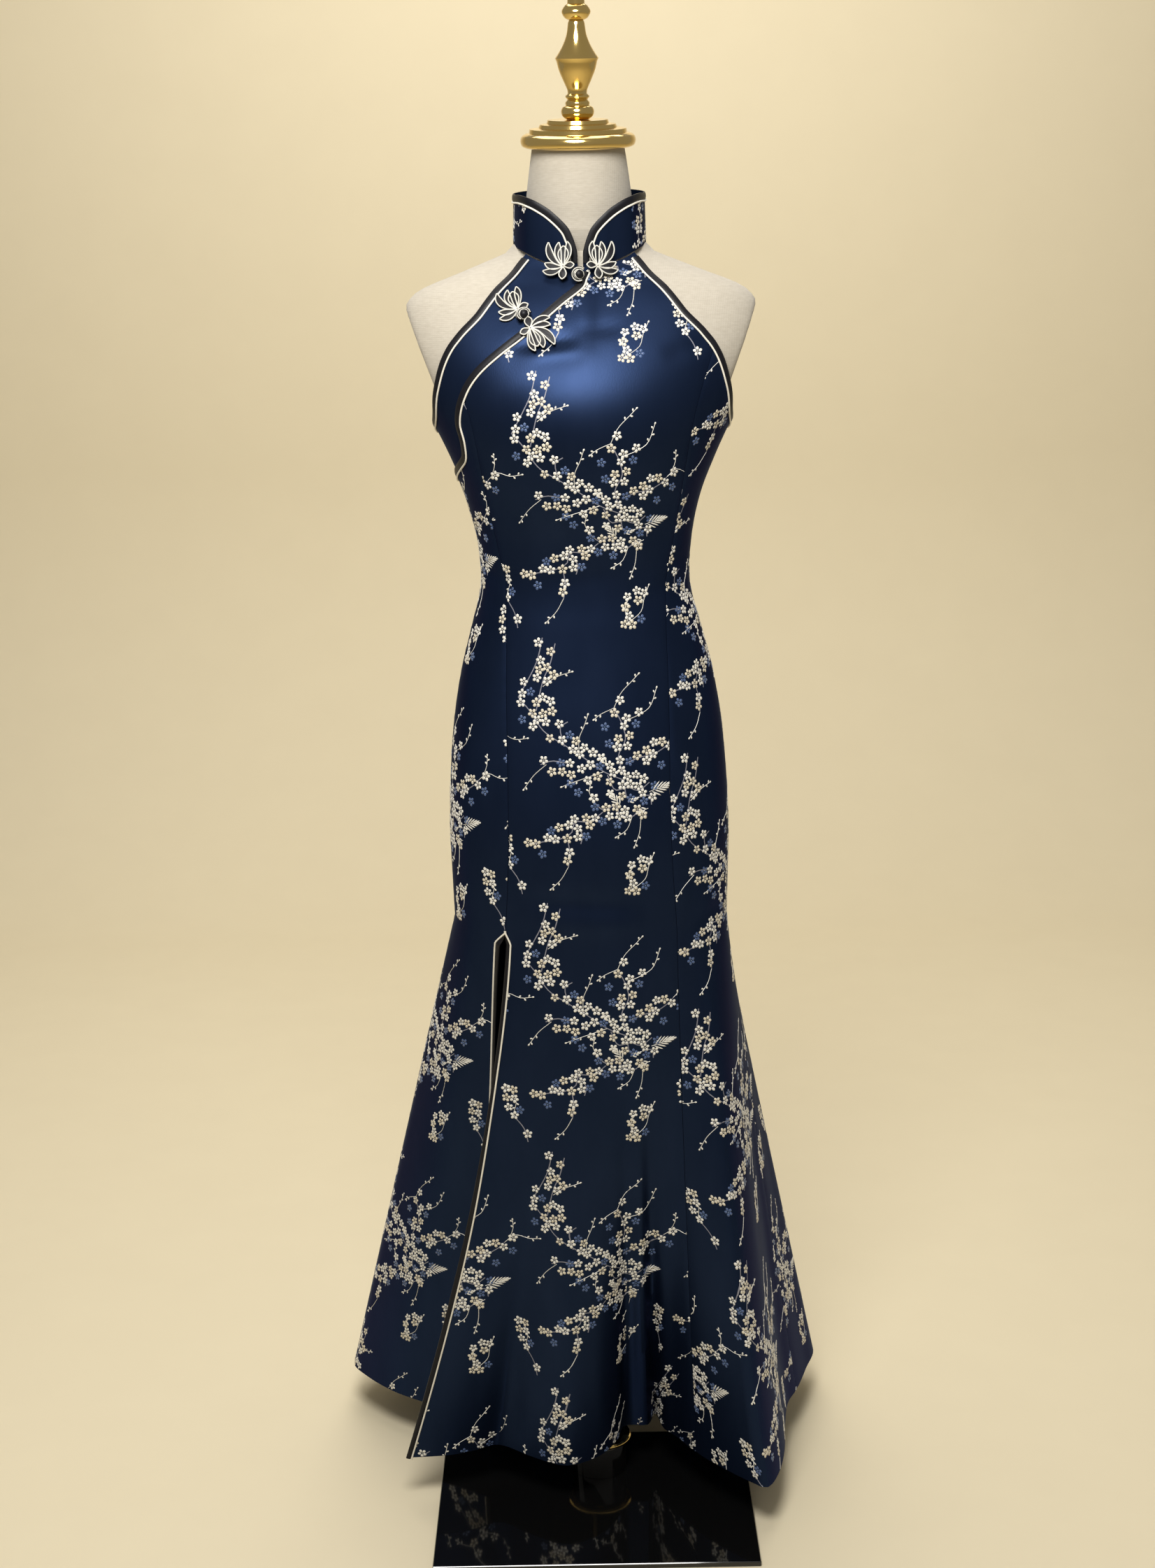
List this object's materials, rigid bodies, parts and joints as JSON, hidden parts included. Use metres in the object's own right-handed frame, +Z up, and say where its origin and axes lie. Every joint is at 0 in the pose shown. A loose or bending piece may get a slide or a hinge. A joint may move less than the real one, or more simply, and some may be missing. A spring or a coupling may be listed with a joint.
{
  "type": "cheongsam dress on a limbless dress form",
  "caption": "Floor-length halter cheongsam in navy plum-blossom brocade with a stand collar, frog fastenings and a slit, fitted over a linen dress form on a flat stand.",
  "frame": {"origin": "on the pole's axis, in the plane of the base plate's underside", "axes": "+Z up; the front of the dress faces -Y; +X is the wearer's left"},
  "size_m": [0.587, 0.5785, 1.6948],
  "materials": {
    "brocade": "navy satin brocade with silver and blue plum blossoms",
    "binding": "black satin binding",
    "piping": "ivory satin piping",
    "cord": "black cord topped with silver cord",
    "linen": "off-white linen, matt",
    "brass": "polished",
    "gloss": "gloss black enamel on steel"
  },
  "bodies": {
    "root": {"front_centre": "brocade", "front_side_left": "brocade", "front_side_right": "brocade", "front_underlap": "brocade", "back_left": "brocade", "back_right": "brocade", "collar": "brocade", "collar_binding": "binding", "armhole_left_binding": "binding", "armhole_right_binding": "binding", "overlap_binding": "binding", "slit_front_binding": "binding", "slit_side_binding": "binding", "collar_piping": "piping", "armhole_left_piping": "piping", "armhole_right_piping": "piping", "overlap_piping": "piping", "slit_front_piping": "piping", "slit_side_piping": "piping", "frog_collar_left": "cord", "frog_collar_right": "cord", "frog_chest_upper": "cord", "frog_chest_lower": "cord", "knot_collar": "cord", "loop_collar": "cord", "knot_chest": "cord", "loop_chest": "cord", "form_torso": "linen", "neck_cap": "brass", "finial": "brass", "socket_ring": "brass", "pole": "brass", "base_socket": "gloss", "base_plate": "gloss"}
  },
  "joints": []
}
